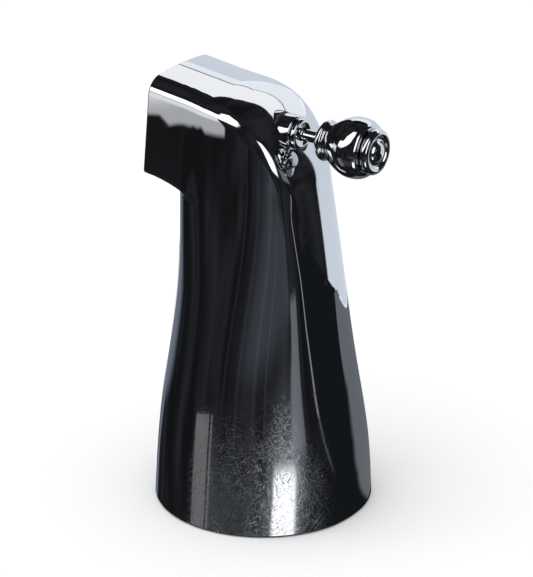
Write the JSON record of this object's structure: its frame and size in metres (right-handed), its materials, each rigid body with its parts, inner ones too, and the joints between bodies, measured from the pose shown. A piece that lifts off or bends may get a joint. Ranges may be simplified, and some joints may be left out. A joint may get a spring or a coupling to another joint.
{
  "type": "bathtub spout with shower diverter",
  "caption": "Chrome-plated slip-on bathtub spout with a round wall flange, a square-shouldered nose and a pull-up diverter worked by a turned finial knob.",
  "frame": {"origin": "centre of the wall face, on the axis of the supply pipe", "axes": "+Z runs away from the wall towards the nose, +X points to the diverter knob, the outlet opens towards -X"},
  "size_m": [0.0786, 0.0698, 0.1396],
  "materials": {
    "chrome_shell": "mirror-polished plating with fine scratches",
    "chrome_trim": "mirror-polished plating",
    "brass": "turned",
    "steel": "plain zinc",
    "rubber": "matt",
    "acetal": "moulded"
  },
  "bodies": {
    "spout": {"spout_shell": "chrome_shell", "inlet_collar": "brass", "inlet_o_ring_front": "rubber", "inlet_o_ring_rear": "rubber", "clamp_set_screw": "steel", "collar_retaining_clip": "steel", "waterway_tube": "brass", "tube_o_ring_lower": "rubber", "tube_o_ring_upper": "rubber", "diverter_body": "acetal", "diverter_screw_left": "steel", "diverter_screw_right": "steel", "valve_seat": "brass", "bonnet": "chrome_trim", "bonnet_o_ring": "rubber", "stem_o_ring": "rubber", "packing_washer": "brass", "bonnet_nut": "chrome_trim"},
    "gate": {"gate_plate": "acetal", "gate_washer": "rubber"},
    "knob": {"lift_rod": "chrome_trim", "knob_body": "chrome_trim", "knob_end_button": "chrome_trim"}
  },
  "joints": [
    {"name": "diverter_lift", "type": "slide", "parent": "spout", "child": "gate", "axis": [1, 0, 0], "range_m": [0, 0.0095]},
    {"name": "knob_turn", "type": "hinge", "parent": "gate", "child": "knob", "pos_m": [0.03, 0, 0.1257], "axis": [1, 0, 0], "continuous": true}
  ]
}
